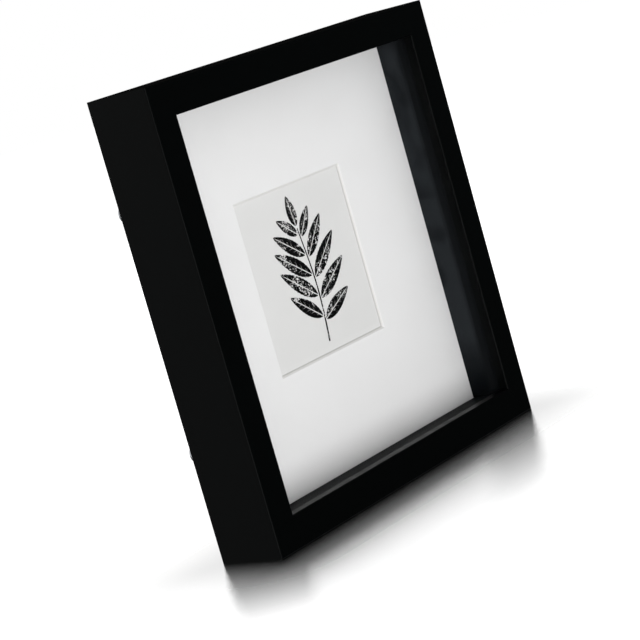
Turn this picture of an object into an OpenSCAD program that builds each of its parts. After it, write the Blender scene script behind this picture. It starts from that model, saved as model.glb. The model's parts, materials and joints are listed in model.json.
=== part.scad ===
// Deep shadow box frame. Four mitred rails hold glass, spacer strips, a bevel-cut
// window mount with a paper print behind it, and a back panel that eight turn
// buttons keep in. The front face looks along -Y, and the frame stands on its
// bottom rail. The origin is the middle of the frame's depth and width, at its foot.

/* [Frame] */
// Outer width of the frame
frame_w = 250; // [220:5:400]
// Outer height of the frame
frame_h = 250; // [220:5:400]
// Depth of the rails, from the front face to the rear face
frame_d = 41; // [32:1:60]
// Width of a rail's front face
lip_w = 18; // [15:0.5:24]
// Thickness of the lip in front of the glass
lip_t = 6; // [4:0.5:8]
// Thickness of a rail's outer wall
wall_t = 10; // [9.5:0.5:13]
// Radius of a rail's long front edges
edge_r = 0.8; // [0.3:0.1:1.5]

/* [Corner nails] */
// Height of one V-nail
v_nail_h = 10; // [5:1:14]
// Length of each leg of a V-nail
v_nail_leg = 4.5; // [3:0.5:5]
// Thickness of the V-nail's steel
v_nail_t = 0.5; // [0.4:0.1:0.8]
// V-nails driven one over the other in each corner
v_nail_count = 2; // [1:1:2]
// Distance between the V-nails of a corner
v_nail_gap = 0.5; // [0.2:0.1:1]
// Distance from the corner's outer faces to a V-nail
v_nail_inset = 4; // [3:0.5:4.5]
// How far the last V-nail is driven below the rear face
v_nail_sink = 0.2; // [0.1:0.1:0.5]

/* [Glass and spacers] */
// Thickness of the glass
glass_t = 2; // [1.5:0.5:3]
// Room round the glass and the boards in the rebate
glazing_fit = 0.3; // [0.2:0.1:1]
// Thickness of a spacer strip
spacer_t = 4.1; // [2:0.1:4.6]
// Room between a spacer strip and the rebate, and at the strips' ends
spacer_fit = 0.15; // [0.1:0.05:0.3]

/* [Mount and print] */
// Thickness of the window mount
mount_t = 1.5; // [1:0.25:2.5]
// Width of the window at the mount's face
window_w = 98; // [70:1:150]
// Height of the window at the mount's face
window_h = 98; // [70:1:150]
// Sideways place of the window, right of the middle
window_x = -2.5; // [-15:0.5:15]
// Height of the window's middle above the frame's middle
window_z = 1.5; // [-15:0.5:15]
// Angle of the window's bevel from the line of sight
bevel_angle = 45; // [30:1:55]
// How far the print reaches past the window on each side
print_margin = 11; // [5:1:15]
// Thickness of the print's paper
print_t = 0.4; // [0.2:0.1:0.6]
// Width of a hinge tape strip
tape_w = 25; // [12:1:30]
// Height of a hinge tape strip
tape_h = 16; // [10:1:20]
// Thickness of the hinge tape
tape_t = 0.15; // [0.1:0.05:0.25]
// Distance from the print's upright edges to the tapes
tape_inset = 12; // [5:1:15]
// Thickness of the undermount
undermount_t = 1.5; // [1:0.25:2.5]

/* [Back panel] */
// Thickness of the filler board in front of the back panel
filler_t = 4.2; // [2:0.1:8]
// Thickness of the back panel
back_t = 3; // [2.5:0.5:4]
// How far the back panel lies below the rear face
back_recess = 0.25; // [0.1:0.05:0.5]

/* [Turn buttons] */
// Radius of a turn button's round end
button_r = 4.7; // [4:0.1:5]
// Radius of its tip
button_tip_r = 3; // [2:0.1:3.5]
// Distance from the pivot to the middle of the tip
button_reach = 13; // [11:0.5:15]
// Thickness of its steel
button_t = 1; // [0.8:0.1:1.5]
// Distance from the middle of a rail to each of its two buttons
button_spread = 65; // [50:1:75]
// Distance from a rail's outer face to the pivot
button_inset = 5; // [4.8:0.1:5.5]
// Running room over and under a button
button_play = 0.05; // [0.03:0.01:0.1]
// Radius of the dimple pressed into the tip
dimple_r = 2; // [1:0.1:2]
// Height of the dimple
dimple_h = 0.5; // [0.3:0.1:0.7]

/* [Button screws] */
// Radius of the screw's shank
screw_r = 1.5; // [1.2:0.1:1.8]
// Length of the shank in the wood
screw_l = 13; // [8:1:15]
// Radius of the screw's head
screw_head_r = 2.8; // [2.4:0.1:3.4]
// Height of the screw's head
screw_head_h = 1.3; // [1:0.1:1.8]
// Radial running room in a button's hole
pivot_play = 0.06; // [0.02:0.01:0.1]
// Radial room between a shank and its hole in the wood
pilot_fit = 0.02; // [0.01:0.01:0.05]

/* [Sawtooth hanger] */
// Length of the hanger
hanger_l = 45; // [42:1:60]
// Height of the hanger's strip
hanger_w = 8; // [7:0.5:9]
// Thickness of the hanger's steel
hanger_t = 0.8; // [0.5:0.1:1]
// Length of the raised, toothed stretch
bridge_l = 27; // [16:1:28]
// How far that stretch stands off the rail
bridge_rise = 1.6; // [1:0.1:2]
// Angle of the cranks at its ends
crank_angle = 45; // [35:1:60]
// Pitch of the teeth
tooth_pitch = 2; // [1.2:0.1:3]
// Depth of the teeth
tooth_h = 1.5; // [0.8:0.1:2]
// Distance from the hanger's end to its nail
hanger_nail_inset = 3.2; // [2.8:0.1:3.4]
// Radius of a hanger nail's shank
hanger_nail_r = 0.9; // [0.7:0.1:1]
// Length of the shank in the wood
hanger_nail_l = 11; // [6:1:14]
// Radius of a hanger nail's head
hanger_head_r = 1.9; // [1.6:0.1:2.2]
// Height of a hanger nail's head
hanger_head_h = 0.8; // [0.5:0.1:1]

/* [Wall bumpers] */
// Radius of a wall bumper
bumper_r = 4.2; // [3:0.1:4.4]
// Height of a wall bumper
bumper_h = 3; // [2.6:0.1:4]
// Distance from the frame's side to a bumper's middle
bumper_inset = 18; // [16:1:22]

/* [Hidden] */
$fn = 48;

BLACK_LACQUER = "#101113";
BLACK_BOARD = "#17191c";
CLEAR_GLASS = "#cfe0e0";
WHITE_MOUNT = "#e9e9e8";
PRINT_PAPER = "#dededb";
LINEN_TAPE = "#ece6d6";
GREY_BOARD = "#b9b1a2";
KRAFT_BOARD = "#b5905f";
BROWN_MDF = "#8a6a48";
ZINC = "#b9bcc0";
BLACK_RUBBER = "#1c1c1d";

// Cutting solids run past the faces that they cut by this much
overrun = 1;

// The rebate that the glass and the boards lie in, between the rails' outer walls
rebate_w = frame_w - 2 * wall_t;
rebate_h = frame_h - 2 * wall_t;
glazing_w = rebate_w - 2 * glazing_fit;
glazing_h = rebate_h - 2 * glazing_fit;

// The level spacer strips run from wall to wall, and the upright ones stand between them
level_spacer_l = rebate_w - 2 * spacer_fit;
upright_spacer_l = rebate_h - 2 * spacer_t - 4 * spacer_fit;

// Where each layer starts, counted from the front face. The layers behind the spacer
// strips are stacked from the rear, and the strips are as deep as the room that is left.
back_y = frame_d - back_recess - back_t;
filler_y = back_y - filler_t;
undermount_y = filler_y - undermount_t;
tape_y = undermount_y - tape_t;
print_y = tape_y - print_t;
mount_y = print_y - mount_t;
glass_y = lip_t;
spacer_y = glass_y + glass_t;
spacer_d = mount_y - spacer_y;

// The window's opening narrows from the mount's face to its back
bevel_run = mount_t * tan(bevel_angle);
window_mid_z = frame_h / 2 + window_z;

print_w = window_w + 2 * print_margin;
print_h = window_h + 2 * print_margin;
tape_x = print_w / 2 - tape_inset - tape_w / 2;

button_y = frame_d + button_play;
screw_head_y = button_y + button_t + button_play;
// Share of the shank's length that tapers to its point
point_share = 0.3;
// The cross in a screw's head: its arm length and width, and its depth
recess_l_share = 0.6;
recess_w_share = 0.16;
recess_h_share = 0.6;
// Height of the straight rim below a head's dome
rim_share = 0.35;

// The solid strip that is left at each end of the row of teeth
tooth_margin = tooth_pitch / 2;

// The origin lies half way between the front face and the rearmost point
rear_reach = max(bumper_h, screw_head_y + screw_head_h - frame_d, bridge_rise + hanger_t);
front_y = -(frame_d + rear_reach) / 2;

// The sides of the frame. On each, x runs along the rail, z inwards from its outer
// face and y from the front face to the rear.
SIDES = ["bottom", "left", "top", "right"];
ENDS = [-1, 1];

function side_turn(side) = side == "bottom" ? 0 : side == "left" ? 90 : side == "top" ? 180 : -90;
function side_place(side) =
    side == "bottom" ? [0, 0, 0] :
    side == "left" ? [-frame_w / 2, 0, frame_h / 2] :
    side == "top" ? [0, 0, frame_h] :
    [frame_w / 2, 0, frame_h / 2];

module on_side(side) {
    translate([0, front_y, 0])
        translate(side_place(side))
            rotate([0, side_turn(side), 0])
                children();
}

// Turns an outline drawn in x and z into a plate from depth y, growing to the rear
module plate(y, depth) {
    translate([0, y + depth, 0])
        rotate([90, 0, 0])
            linear_extrude(depth)
                children();
}

// Stands a round profile on the frame's rear side, with its axis along y
module turned_on_rear(x, y, z) {
    translate([x, y, z])
        rotate([-90, 0, 0])
            rotate_extrude()
                children();
}

// A board of the rebate's size in layer y
module board(y, depth) {
    translate([-glazing_w / 2, front_y + y, (frame_h - glazing_h) / 2])
        cube([glazing_w, depth, glazing_h]);
}

// The waste outside a rounded corner that points to -x and -y
module corner_waste(r) {
    difference() {
        translate([-overrun, -overrun])
            square(r + overrun);
        translate([r, r])
            circle(r);
    }
}

// Section of a rail: x is the depth from the front face, y the width from the outer face
module rail_section() {
    difference() {
        union() {
            square([lip_t, lip_w]);
            square([frame_d, wall_t]);
        }
        corner_waste(edge_r);
        translate([0, lip_w])
            mirror([0, 1])
                corner_waste(edge_r);
        translate([frame_d, 0])
            mirror([1, 0])
                corner_waste(edge_r);
    }
}

// Outline of a rail seen from the front, with its mitred ends
module mitre_outline(length) {
    polygon([
        [-length / 2, 0],
        [length / 2, 0],
        [length / 2 - lip_w, lip_w],
        [-length / 2 + lip_w, lip_w]
    ]);
}

// Plan of a V-nail, with its knee towards the frame's corner
module v_nail_plan() {
    polygon([
        [0, 0],
        [v_nail_leg, 0],
        [v_nail_leg - v_nail_t, v_nail_t],
        [v_nail_t, v_nail_t],
        [v_nail_t, v_nail_leg - v_nail_t],
        [0, v_nail_leg]
    ]);
}

// Places a plan on the mitres at both ends of a rail
module at_mitres(length) {
    for (end = ENDS)
        translate([end * (length / 2 - v_nail_inset), 0, v_nail_inset])
            rotate([0, end < 0 ? 0 : -90, 0])
                children();
}

module v_nail_stack() {
    for (i = [1:v_nail_count])
        plate(frame_d - v_nail_sink - i * v_nail_h - (i - 1) * v_nail_gap, v_nail_h)
            v_nail_plan();
}

// The cut that the V-nails of one corner leave as they are driven in
module v_nail_slot() {
    slot_h = v_nail_sink + v_nail_count * v_nail_h + (v_nail_count - 1) * v_nail_gap;
    plate(frame_d - slot_h, slot_h + overrun)
        v_nail_plan();
}

// A shank's hole in the wood, with its mouth in the rear face
module pilot_hole(x, z, r, l) {
    translate([x, frame_d - l, z])
        rotate([-90, 0, 0])
            cylinder(h = l + overrun, r = r + pilot_fit);
}

module rail(length) {
    difference() {
        intersection() {
            translate([-length / 2, 0, 0])
                rotate([90, 0, 90])
                    linear_extrude(length)
                        rail_section();
            plate(-overrun, frame_d + 2 * overrun)
                mitre_outline(length);
        }
        at_mitres(length)
            v_nail_slot();
        for (end = ENDS)
            pilot_hole(end * button_spread, button_inset, screw_r, screw_l);
    }
}

module bottom_rail() {
    color(BLACK_LACQUER)
        on_side("bottom")
            rail(frame_w);
}

module left_stile() {
    color(BLACK_LACQUER)
        on_side("left")
            rail(frame_h);
}

module top_rail() {
    color(BLACK_LACQUER)
        on_side("top")
            difference() {
                rail(frame_w);
                for (end = ENDS)
                    pilot_hole(
                        end * (hanger_l / 2 - hanger_nail_inset), wall_t / 2,
                        hanger_nail_r, hanger_nail_l
                    );
            }
}

module right_stile() {
    color(BLACK_LACQUER)
        on_side("right")
            rail(frame_h);
}

module corner_v_nails() {
    color(ZINC)
        for (side = ["bottom", "top"])
            on_side(side)
                at_mitres(frame_w)
                    v_nail_stack();
}

module glass_pane() {
    color(CLEAR_GLASS, 0.3)
        board(glass_y, glass_t);
}

// A spacer strip along one side, with its outer face on the rebate's wall
module spacer(length) {
    translate([-length / 2, spacer_y, wall_t + spacer_fit])
        cube([length, spacer_d, spacer_t]);
}

module bottom_spacer() {
    color(BLACK_BOARD)
        on_side("bottom")
            spacer(level_spacer_l);
}

module left_spacer() {
    color(BLACK_BOARD)
        on_side("left")
            spacer(upright_spacer_l);
}

module top_spacer() {
    color(BLACK_BOARD)
        on_side("top")
            spacer(level_spacer_l);
}

module right_spacer() {
    color(BLACK_BOARD)
        on_side("right")
            spacer(upright_spacer_l);
}

// Half the width of a cut through the mount, seen along its length. It widens by the
// bevel towards the face, and on past it.
module bevel_section(width) {
    run_out = overrun * tan(bevel_angle);
    front = width / 2 + run_out;
    rear = width / 2 - bevel_run - run_out;
    polygon([
        [-front, -overrun],
        [front, -overrun],
        [rear, mount_t + overrun],
        [-rear, mount_t + overrun]
    ]);
}

// The window's opening, where an upright and a level bevelled cut meet
module window_cut() {
    length = max(window_w, window_h) + 2 * overrun;
    intersection() {
        translate([0, 0, -length])
            linear_extrude(2 * length)
                bevel_section(window_w);
        translate([-length, 0, 0])
            rotate([90, 0, 90])
                linear_extrude(2 * length)
                    mirror([1, -1])
                        bevel_section(window_h);
    }
}

module window_mount() {
    color(WHITE_MOUNT)
        difference() {
            board(mount_y, mount_t);
            translate([window_x, front_y + mount_y, window_mid_z])
                window_cut();
        }
}

module print_sheet() {
    color(PRINT_PAPER)
        translate([window_x - print_w / 2, front_y + print_y, window_mid_z - print_h / 2])
            cube([print_w, print_t, print_h]);
}

// Tapes that hang the print from the mount's back, half on the print's top edge
module hinge_tapes() {
    color(LINEN_TAPE)
        for (end = ENDS)
            translate([
                window_x + end * tape_x - tape_w / 2,
                front_y + tape_y,
                window_mid_z + print_h / 2 - tape_h / 2
            ])
                cube([tape_w, tape_t, tape_h]);
}

module undermount() {
    color(GREY_BOARD)
        board(undermount_y, undermount_t);
}

module filler_board() {
    color(KRAFT_BOARD)
        board(filler_y, filler_t);
}

module back_panel() {
    color(BROWN_MDF)
        board(back_y, back_t);
}

// Outline of a turn button: a round end at the pivot, tapering to a smaller round tip
module button_outline() {
    taper = asin((button_r - button_tip_r) / button_reach);
    pivot_edge = [button_r * cos(taper), button_r * sin(taper)];
    tip_edge = [button_tip_r * cos(taper), button_reach + button_tip_r * sin(taper)];
    circle(button_r);
    translate([0, button_reach])
        circle(button_tip_r);
    polygon([
        [-pivot_edge[0], pivot_edge[1]],
        pivot_edge,
        tip_edge,
        [-tip_edge[0], tip_edge[1]]
    ]);
}

// Half of a shallow dome's section, standing on y = 0
module dome_section(r, h) {
    ball_r = (r * r + h * h) / (2 * h);
    intersection() {
        square([r, h]);
        translate([0, h - ball_r])
            circle(ball_r);
    }
}

// A turn button over its rail, with its tip turned in over the back panel
module turn_button(side, end) {
    color(ZINC)
        on_side(side)
            translate([end * button_spread, 0, button_inset])
                difference() {
                    union() {
                        plate(button_y, button_t)
                            button_outline();
                        turned_on_rear(0, button_y + button_t, button_reach)
                            dome_section(dimple_r, dimple_h);
                    }
                    turned_on_rear(0, button_y, button_reach)
                        dome_section(dimple_r, dimple_h);
                    turned_on_rear(0, button_y, 0)
                        translate([0, -overrun])
                            square([screw_r + pivot_play, button_t + 2 * overrun]);
                }
}

// A screw or nail along y: a domed head on its rim, and a shank that tapers to its point
module headed_pin(head_y, head_r, head_h, shank_r, wood_l) {
    rim_h = head_h * rim_share;
    point_l = wood_l * point_share;
    turned_on_rear(0, head_y, 0) {
        square([head_r, rim_h]);
        translate([0, rim_h])
            dome_section(head_r, head_h - rim_h);
    }
    turned_on_rear(0, frame_d, 0)
        polygon([
            [0, -wood_l],
            [shank_r, -wood_l + point_l],
            [shank_r, head_y - frame_d],
            [0, head_y - frame_d]
        ]);
}

module cross_recess() {
    arm_l = 2 * screw_head_r * recess_l_share;
    arm_w = 2 * screw_head_r * recess_w_share;
    recess_h = screw_head_h * recess_h_share;
    for (size = [[arm_l, arm_w], [arm_w, arm_l]])
        plate(screw_head_y + screw_head_h - recess_h, recess_h + overrun)
            square(size, center = true);
}

module turn_button_screws() {
    color(ZINC)
        for (side = SIDES)
            for (end = ENDS)
                on_side(side)
                    translate([end * button_spread, 0, button_inset])
                        difference() {
                            headed_pin(screw_head_y, screw_head_r, screw_head_h, screw_r, screw_l);
                            cross_recess();
                        }
}

// Edge-on view of the hanger's strip: two flat ends, two cranks and the raised bridge
module strip_section() {
    half_l = hanger_l / 2;
    half_bridge = bridge_l / 2;
    foot = half_bridge + bridge_rise / tan(crank_angle);
    bend = hanger_t * tan(crank_angle / 2);
    polygon([
        [-half_l, 0],
        [-foot, 0],
        [-half_bridge, bridge_rise],
        [half_bridge, bridge_rise],
        [foot, 0],
        [half_l, 0],
        [half_l, hanger_t],
        [foot + bend, hanger_t],
        [half_bridge + bend, bridge_rise + hanger_t],
        [-half_bridge - bend, bridge_rise + hanger_t],
        [-foot - bend, hanger_t],
        [-half_l, hanger_t]
    ]);
}

// The strip's outline seen from the rear, with half-round ends
module strip_outline() {
    end_r = hanger_w / 2;
    square([hanger_l - 2 * end_r, hanger_w], center = true);
    for (end = ENDS)
        translate([end * (hanger_l / 2 - end_r), 0])
            circle(end_r);
}

// The row of V-shaped gaps between the teeth, along the strip's lower edge. On the top
// rail the way inwards is down, so the teeth point to +y of the outline.
module tooth_gaps() {
    count = floor((bridge_l - 2 * tooth_margin) / tooth_pitch);
    run_out = overrun * tooth_pitch / (2 * tooth_h);
    for (i = [0:count - 1])
        translate([(i - (count - 1) / 2) * tooth_pitch, hanger_w / 2])
            polygon([
                [-tooth_pitch / 2 - run_out, overrun],
                [0, -tooth_h],
                [tooth_pitch / 2 + run_out, overrun]
            ]);
}

module sawtooth_hanger() {
    color(ZINC)
        on_side("top")
            translate([0, frame_d, wall_t / 2])
                difference() {
                    intersection() {
                        translate([0, 0, -hanger_w])
                            linear_extrude(2 * hanger_w)
                                strip_section();
                        plate(-overrun, bridge_rise + hanger_t + 2 * overrun)
                            strip_outline();
                    }
                    plate(-overrun, bridge_rise + hanger_t + 2 * overrun)
                        tooth_gaps();
                    for (end = ENDS)
                        translate([end * (hanger_l / 2 - hanger_nail_inset), 0, 0])
                            turned_on_rear(0, 0, 0)
                                translate([0, -overrun])
                                    square([hanger_nail_r + pivot_play, hanger_t + 2 * overrun]);
                }
}

module hanger_nails() {
    color(ZINC)
        on_side("top")
            for (end = ENDS)
                translate([end * (hanger_l / 2 - hanger_nail_inset), 0, wall_t / 2])
                    headed_pin(
                        frame_d + hanger_t, hanger_head_r, hanger_head_h,
                        hanger_nail_r, hanger_nail_l
                    );
}

module wall_bumper(end) {
    color(BLACK_RUBBER)
        on_side("bottom")
            turned_on_rear(end * (frame_w / 2 - bumper_inset), frame_d, wall_t / 2)
                dome_section(bumper_r, bumper_h);
}

module turn_button_bottom_left() turn_button("bottom", -1);
module turn_button_bottom_right() turn_button("bottom", 1);
module turn_button_left_lower() turn_button("left", 1);
module turn_button_left_upper() turn_button("left", -1);
module turn_button_top_left() turn_button("top", 1);
module turn_button_top_right() turn_button("top", -1);
module turn_button_right_lower() turn_button("right", -1);
module turn_button_right_upper() turn_button("right", 1);
module left_wall_bumper() wall_bumper(-1);
module right_wall_bumper() wall_bumper(1);

bottom_rail();
left_stile();
top_rail();
right_stile();
corner_v_nails();
glass_pane();
bottom_spacer();
left_spacer();
top_spacer();
right_spacer();
window_mount();
print_sheet();
hinge_tapes();
undermount();
filler_board();
back_panel();
turn_button_bottom_left();
turn_button_bottom_right();
turn_button_left_lower();
turn_button_left_upper();
turn_button_top_left();
turn_button_top_right();
turn_button_right_lower();
turn_button_right_upper();
turn_button_screws();
sawtooth_hanger();
hanger_nails();
left_wall_bumper();
right_wall_bumper();
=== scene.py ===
import json
import math

import bpy
from mathutils import Matrix, Vector

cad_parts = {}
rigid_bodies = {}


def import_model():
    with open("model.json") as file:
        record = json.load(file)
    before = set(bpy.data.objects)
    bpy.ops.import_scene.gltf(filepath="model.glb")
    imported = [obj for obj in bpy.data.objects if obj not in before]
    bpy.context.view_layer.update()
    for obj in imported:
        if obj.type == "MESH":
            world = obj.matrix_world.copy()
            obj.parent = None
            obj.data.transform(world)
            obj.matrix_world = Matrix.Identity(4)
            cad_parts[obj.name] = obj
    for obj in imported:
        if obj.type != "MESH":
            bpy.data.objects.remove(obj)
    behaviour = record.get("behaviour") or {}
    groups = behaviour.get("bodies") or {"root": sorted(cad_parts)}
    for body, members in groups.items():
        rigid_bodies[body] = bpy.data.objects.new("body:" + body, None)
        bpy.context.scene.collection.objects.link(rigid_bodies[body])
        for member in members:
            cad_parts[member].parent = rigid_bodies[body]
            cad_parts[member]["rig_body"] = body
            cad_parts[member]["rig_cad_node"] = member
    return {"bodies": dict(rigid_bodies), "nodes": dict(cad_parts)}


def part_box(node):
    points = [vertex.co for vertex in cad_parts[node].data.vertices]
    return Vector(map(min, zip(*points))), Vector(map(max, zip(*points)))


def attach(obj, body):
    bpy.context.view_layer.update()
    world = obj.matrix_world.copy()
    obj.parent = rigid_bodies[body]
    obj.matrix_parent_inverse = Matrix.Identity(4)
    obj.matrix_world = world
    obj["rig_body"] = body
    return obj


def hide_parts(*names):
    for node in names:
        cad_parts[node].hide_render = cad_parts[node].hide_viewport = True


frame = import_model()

bl_info = {
    "name": "Shadow box frame",
    "version": (1, 0, 0),
    "blender": (4, 5, 0),
    "location": "3D View > Sidebar > Shadow Box",
    "description": "Finishes a deep box frame, its glass, window mount, leaf print and fittings",
    "category": "Object",
}

MM = 0.001

# The rails with the axis that their grain follows: 0 is X, and 2 is Z
RAIL_AXES = {"bottom_rail": 0, "left_stile": 2, "top_rail": 0, "right_stile": 2}
SPACERS = ("bottom_spacer", "left_spacer", "top_spacer", "right_spacer")
TURN_BUTTONS = tuple(sorted(name for name in frame["bodies"] if name.startswith("turn_button")))
PLATED_PARTS = TURN_BUTTONS + ("turn_button_screws", "sawtooth_hanger", "hanger_nails")
WALL_BUMPERS = ("left_wall_bumper", "right_wall_bumper")

# Corners of a CAD piece that lie nearer than this are one corner
MERGE_GAP = 0.002 * MM
# Neighbouring faces that turn less than this are one flat face
FLAT_TURN = math.radians(0.2)
# Edges sharper than this are rounded
ROUNDED_TURN = math.radians(40)
# Edges sharper than this aren't shaded smooth
CRISP_TURN = math.radians(35)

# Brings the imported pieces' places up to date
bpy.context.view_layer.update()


def colour(hex_code):
    """Turns an sRGB hex colour into linear red, green, blue and alpha."""
    parts = [int(hex_code[i:i + 2], 16) / 255 for i in (1, 3, 5)]
    linear = (c / 12.92 if c <= 0.04045 else ((c + 0.055) / 1.055) ** 2.4 for c in parts)
    return tuple(linear) + (1.0,)


BLACK = colour("#000000")
WHITE = colour("#ffffff")


def colour_value(name, hex_code, about):
    """A colour that a user can change."""
    return bpy.props.FloatVectorProperty(
        name=name, description=about, default=colour(hex_code),
        subtype="COLOR", size=4, min=0, max=1,
    )


def length_value(name, millimetres, about):
    """A length that a user can change."""
    return bpy.props.FloatProperty(
        name=name, description=about, default=millimetres * MM, unit="LENGTH", precision=5,
    )


def number_value(name, number, about, **kind):
    """A number that a user can change, with its unit or subtype where one fits."""
    return bpy.props.FloatProperty(name=name, description=about, default=number, **kind)


class SHADOWBOX_PG_frame(bpy.types.PropertyGroup):
    """Sizes and colours of the rails, the glass and the spacer strips."""

    lacquer: colour_value("Lacquer", "#030404", "Colour of the rails' lacquer")
    rail_ease: length_value("Rail easing", 0.1, "How far the rails' sharp edges are sanded back")
    glass_ease: length_value("Glass easing", 0.15, "Width of the ground edge round the glass")
    spacer: colour_value("Spacer", "#070a0d", "Colour of the black board before the mount")
    spacer_ease: length_value("Spacer easing", 0.2, "Softness of the spacer strips' edges")


class SHADOWBOX_PG_picture(bpy.types.PropertyGroup):
    """Sizes and colours of the mount and the print in its window."""

    facing: colour_value("Mount", "#e9e9e9", "Colour of the mount's facing paper")
    facing_t: length_value("Facing depth", 0.25, "Thickness of the facing paper on the mount")
    core: colour_value("Core", "#dfdedc", "Colour of the mount's core in the bevel")
    # The lining colour is painted only on the bevel's right and lower sides, as a painted shadow
    # line
    lining: colour_value("Lining", "#c2c1bf", "Colour of the mount's lining paper in the bevel")
    lining_t: length_value("Lining depth", 0.5, "Thickness of the lining paper behind the mount")
    paper: colour_value("Paper", "#dcdcdb", "Colour of the print's paper")
    ink: colour_value("Ink", "#040404", "Colour of the print's ink")
    ink_t: length_value("Ink film", 0.03, "Thickness of the ink on the paper")
    frond_h: length_value("Frond height", 84, "Height of the printed frond")
    frond_bend: length_value("Frond bend", 2.5, "How far the frond's stem bows sideways")
    stem_w: length_value("Stem width", 1.4, "Width of the stem at its foot")
    leaflet_l: length_value("Leaflet length", 33, "Length of the longest leaflet")
    leaflet_w: length_value("Leaflet width", 9.6, "Width of the longest leaflet")
    vein_w: length_value("Vein width", 0.5, "Width of the bare vein along a leaflet")
    leaflet_pairs: bpy.props.IntProperty(
        name="Leaflet pairs", description="Pairs of leaflets on the frond",
        default=5, min=2, max=9,
    )


class SHADOWBOX_PG_back(bpy.types.PropertyGroup):
    """Sizes and colours of the boards and fittings behind the print."""

    tape: colour_value("Tape", "#ece6d6", "Colour of the linen hinge tape")
    grey_board: colour_value("Undermount", "#b9b1a2", "Colour of the undermount")
    kraft: colour_value("Filler", "#b5905f", "Colour of the filler board")
    fibreboard: colour_value("Back panel", "#96714c", "Colour of the back panel")
    panel_ease: length_value("Panel easing", 0.3, "Softness of the back panel's edges")
    zinc: colour_value("Zinc", "#c3c6ca", "Colour of the plated steel")
    metal_ease: length_value("Metal easing", 0.15, "Roundness of stamped and headed edges")
    nail_steel: colour_value("Nail steel", "#8f9093", "Colour of the V-nails")
    rubber: colour_value("Rubber", "#141415", "Colour of the wall bumpers")
    rubber_ease: length_value("Rubber easing", 0.3, "Roundness of the wall bumpers' rims")


class SHADOWBOX_PG_stage(bpy.types.PropertyGroup):
    """The camera's place and the studio's light."""

    azimuth: number_value(
        "Azimuth", math.radians(50.54), "Camera's angle to the left of the frame's front",
        subtype="ANGLE",
    )
    elevation: number_value(
        "Elevation", math.radians(8.28), "Camera's angle above the horizon", subtype="ANGLE",
    )
    roll: number_value(
        "Roll", math.radians(-15.93), "Camera's tilt about its line of sight", subtype="ANGLE",
    )
    distance: length_value("Distance", 1258.2, "Distance from the camera to its target")
    target_x: length_value("Target X", -16.1, "Sideways place of the camera's target")
    target_z: length_value("Target Z", 99.6, "Height of the camera's target")
    lens: number_value("Lens", 129.24, "Focal length in millimetres", subtype="DISTANCE_CAMERA")
    room: colour_value("Room", "#5a5f63", "What gloss shows of the room in front of the frame")
    fill_left: number_value("Fill, left", 1.1, "Strength of the soft light from the far left")
    fill_right: number_value("Fill, right", 0.25, "Strength of the soft light from the far right")
    front_power: number_value("Front light", 26, "Power of the low light in front", unit="POWER")
    back_power: number_value("Back light", 8, "Power of the light behind", unit="POWER")
    sheen_level: number_value("Edge light", 5, "Strength of the front light in soft gloss")
    floor_paint: colour_value("Floor", "#f2f2f2", "Colour of the floor's paint")
    floor_size: length_value("Floor size", 9000, "Width of the floor")
    floor_glow: number_value("Floor glow", 0.62, "White that the camera sees in the floor itself")
    floor_fade: length_value("Reflection fade", 120, "Where the floor's reflection ends")
    # The foot shade is painted shade in the floor mirror's colour
    floor_shade: length_value("Foot shade", 70, "Width of the soft shade round the frame's foot")
    floor_blur: number_value("Reflection blur", 0.1, "Slope of the grain in the floor's polish")


def add_node(tree, kind, inputs=None, **settings):
    """Adds a node. An input is named or numbered, and gets a value, a socket or a node's result."""
    node = tree.nodes.new(kind)
    for name, value in settings.items():
        setattr(node, name, value)
    for name, value in (inputs or {}).items():
        if isinstance(name, int):
            socket = node.inputs[name]
        else:
            socket = next(entry for entry in node.inputs if entry.enabled and entry.name == name)
        if isinstance(value, bpy.types.Node):
            value = next(entry for entry in value.outputs if entry.enabled)
        if isinstance(value, bpy.types.NodeSocket):
            tree.links.new(value, socket)
        else:
            socket.default_value = value
    return node


def new_material(name):
    """Starts a material. Returns it with its node tree and its Object coordinates."""
    material = bpy.data.materials.new(name)
    material.use_nodes = True
    tree = material.node_tree
    tree.nodes.clear()
    return material, tree, add_node(tree, "ShaderNodeTexCoord").outputs["Object"]


def per(millimetres):
    """Scale of a pattern whose grains are that wide."""
    return 1 / (millimetres * MM)


def shade_of(base, factor):
    """A colour made darker or lighter by a factor."""
    return tuple(min(c * factor, 1.0) for c in base[:3]) + (1.0,)


def lacquered_wood(base, axis):
    """Wood sprayed with black satin lacquer. The closed pores still show as fine lines along the
    rail where light grazes it, and the spray leaves a slight unevenness in the sheen. Pores are
    45 mm long and 0.1 mm wide, and are drawn 0.7 mm wide to show. The low IOR matches the thin,
    dulled sheen, and a specular level just off the usual one makes the export keep it."""
    material, tree, place = new_material(f"satin_black_lacquer_on_{'xyz'[axis]}_grain")
    grain = [per(0.7)] * 3
    grain[axis] = per(45)
    along = add_node(tree, "ShaderNodeMapping", {"Vector": place, "Scale": grain})
    pores = add_node(tree, "ShaderNodeTexNoise", {"Vector": along, "Scale": 1.0, "Detail": 4.0})
    spray = add_node(tree, "ShaderNodeTexNoise", {
        "Vector": place, "Scale": per(6), "Detail": 2.0,
    })
    sheen = add_node(tree, "ShaderNodeMapRange", {"Value": spray, "To Min": 0.3, "To Max": 0.48})
    relief = add_node(tree, "ShaderNodeBump", {
        "Height": pores, "Distance": 0.02 * MM, "Strength": 0.3,
    })
    shader = add_node(tree, "ShaderNodeBsdfPrincipled", {
        "Base Color": base, "Roughness": sheen, "IOR": 1.13, "Specular IOR Level": 0.49,
        "Normal": relief,
    })
    add_node(tree, "ShaderNodeOutputMaterial", {"Surface": shader})
    return material


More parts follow.
